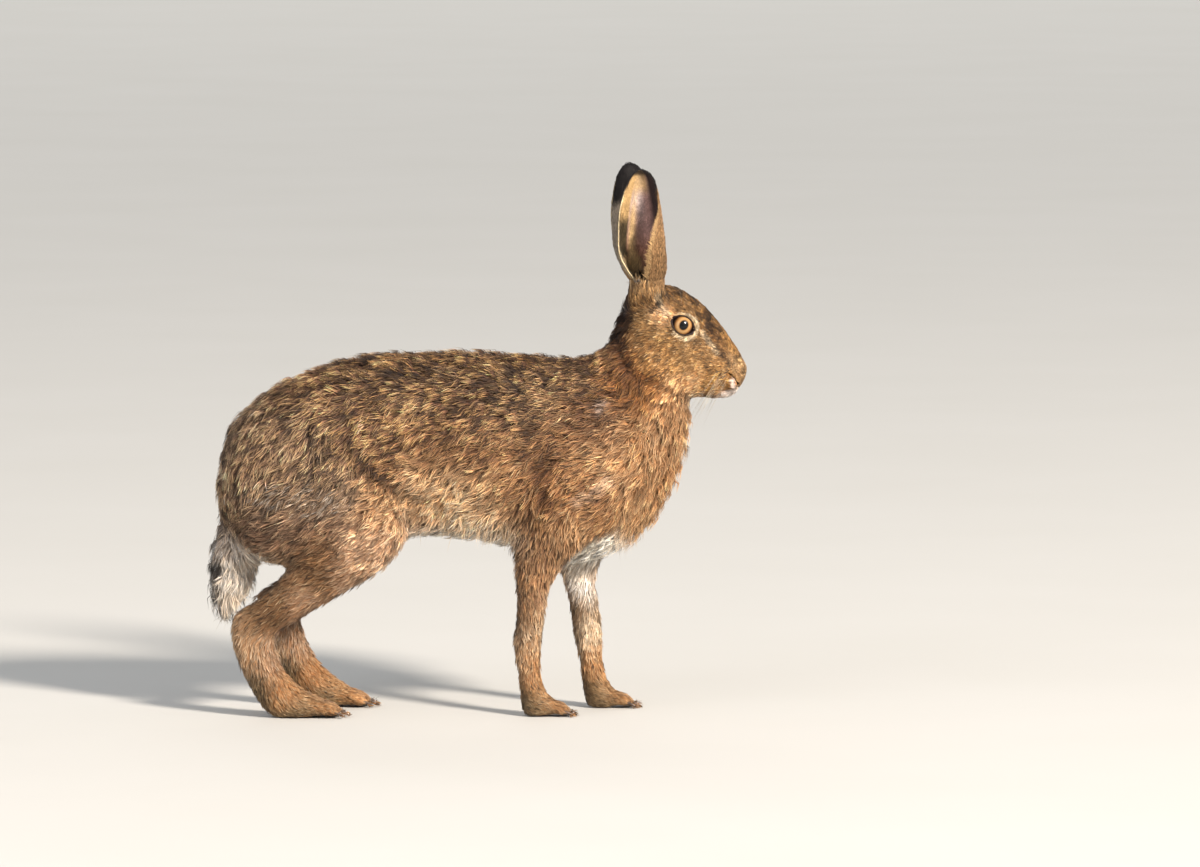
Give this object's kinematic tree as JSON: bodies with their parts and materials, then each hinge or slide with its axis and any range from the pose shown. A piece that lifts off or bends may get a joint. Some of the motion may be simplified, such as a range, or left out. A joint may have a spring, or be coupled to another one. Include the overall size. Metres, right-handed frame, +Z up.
{
  "type": "brown hare figure",
  "caption": "Life-size brown hare standing broadside with raised head and upright ears; a still museum-type model that stands on its own feet.",
  "frame": {"origin": "floor level under the middle of the hare's bounding box", "axes": "+X towards the nose, +Y towards the hare's left side, +Z up out of the back"},
  "size_m": [0.4716, 0.1383, 0.4858],
  "materials": {
    "fur_back": "brown fur with dark ticking",
    "fur_flank": "orange-brown fur",
    "fur_leg": "tawny short fur",
    "fur_tail": "cream fur, black above",
    "fur_ear": "thin brown fur over skin",
    "eye": "wet amber eye"
  },
  "bodies": {
    "root": {"head": "fur_flank", "neck": "fur_flank", "torso": "fur_back", "tail": "fur_tail", "thigh_right": "fur_back", "thigh_left": "fur_back", "shank_right": "fur_leg", "shank_left": "fur_leg", "hind_foot_right": "fur_leg", "hind_foot_left": "fur_leg", "upper_arm_right": "fur_leg", "upper_arm_left": "fur_leg", "forearm_right": "fur_leg", "forearm_left": "fur_leg", "forefoot_right": "fur_leg", "forefoot_left": "fur_leg", "ear_right": "fur_ear", "ear_left": "fur_ear", "eye_right": "eye", "eye_left": "eye"}
  },
  "joints": []
}
